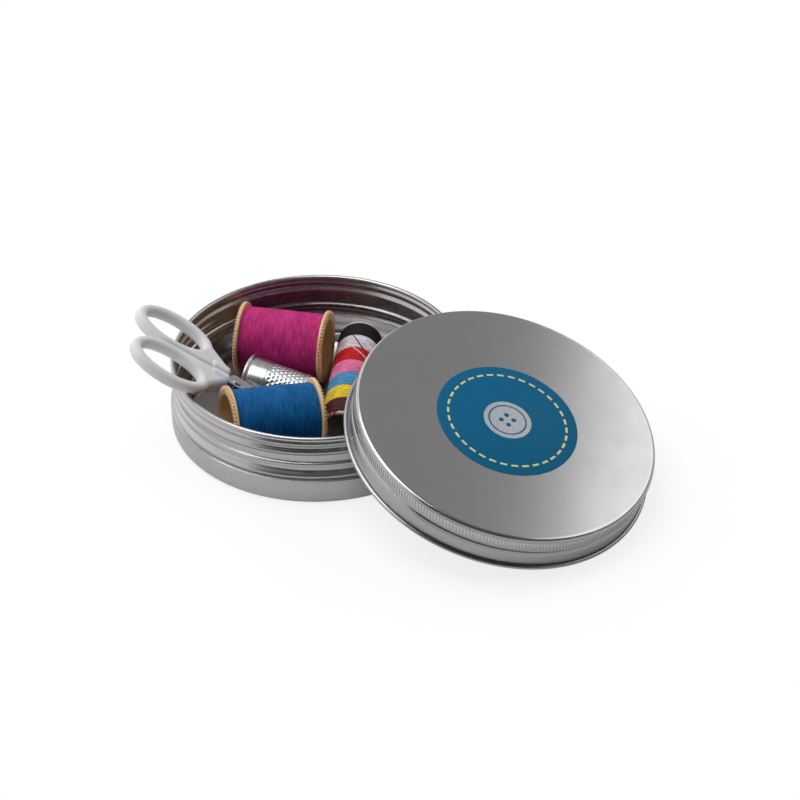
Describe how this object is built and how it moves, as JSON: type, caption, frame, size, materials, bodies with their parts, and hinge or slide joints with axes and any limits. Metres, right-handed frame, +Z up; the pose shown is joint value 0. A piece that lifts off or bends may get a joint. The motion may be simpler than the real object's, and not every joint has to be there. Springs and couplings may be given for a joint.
{
  "type": "sewing tin",
  "caption": "Shallow screw-top sewing tin with its lid leaning on it, holding two toothed thread spools, a thimble, a card tube of coloured threads and small scissors",
  "frame": {"origin": "middle of the tin's base, on the surface that it stands on", "axes": "+Z up; +X towards the leaning lid; -X towards the scissors' handles; +Y away from the viewer"},
  "size_m": [0.1418, 0.1167, 0.035],
  "materials": {
    "tin_metal": "satin, drawn sheet",
    "lid_metal": "brushed top, bright skirt",
    "liner_foam": "fine foamed wad",
    "label_print": "printed disc",
    "spool_body": "satin moulded",
    "magenta_thread": "wound polyester thread",
    "blue_thread": "wound polyester thread",
    "thimble_steel": "bright plated, dimpled",
    "card": "rolled pale card",
    "black_thread": "wound thread",
    "white_thread": "wound thread",
    "red_thread": "wound thread",
    "pink_thread": "wound thread",
    "sky_thread": "wound thread",
    "yellow_thread": "wound thread",
    "brown_thread": "wound thread",
    "handle_plastic": "moulded, glossy",
    "blade_steel": "ground steel",
    "rivet_steel": "turned head"
  },
  "bodies": {
    "tin": {"tin_body": "tin_metal"},
    "lid": {"lid_shell": "lid_metal", "lid_liner": "liner_foam", "lid_label": "label_print"},
    "magenta_reel": {"magenta_spool": "spool_body", "magenta_thread": "magenta_thread"},
    "blue_reel": {"blue_spool": "spool_body", "blue_thread": "blue_thread"},
    "thimble": {"thimble": "thimble_steel"},
    "thread_tube": {"card_tube": "card", "black_winding": "black_thread", "white_winding": "white_thread", "red_winding": "red_thread", "pink_winding": "pink_thread", "sky_winding": "sky_thread", "yellow_winding": "yellow_thread", "brown_winding": "brown_thread"},
    "front_scissor": {"front_handle": "handle_plastic", "front_blade": "blade_steel", "scissor_rivet": "rivet_steel"},
    "rear_scissor": {"rear_handle": "handle_plastic", "rear_blade": "blade_steel"}
  },
  "joints": [
    {"name": "lid_lift", "type": "slide", "parent": "tin", "child": "lid", "axis": [0, 0, 1], "range_m": [0, 0.035]},
    {"name": "magenta_lift", "type": "slide", "parent": "tin", "child": "magenta_reel", "axis": [0, 0, 1], "range_m": [0, 0.04]},
    {"name": "blue_lift", "type": "slide", "parent": "tin", "child": "blue_reel", "axis": [0, 0, 1], "range_m": [0, 0.04]},
    {"name": "thimble_lift", "type": "slide", "parent": "tin", "child": "thimble", "axis": [0, -0.1483, 0.9889], "range_m": [0, 0.068]},
    {"name": "tube_lift", "type": "slide", "parent": "tin", "child": "thread_tube", "axis": [0, 0.3387, 0.9409], "range_m": [0, 0.078]},
    {"name": "scissors_lift", "type": "slide", "parent": "tin", "child": "front_scissor", "axis": [-0.8226, 0, 0.5687], "range_m": [0, 0.08]},
    {"name": "scissor_hinge", "type": "hinge", "parent": "front_scissor", "child": "rear_scissor", "pos_m": [-0.0226, -0.00666, 0.01514], "axis": [-0.5687, 0, -0.8226], "range_deg": [0, 8]}
  ]
}
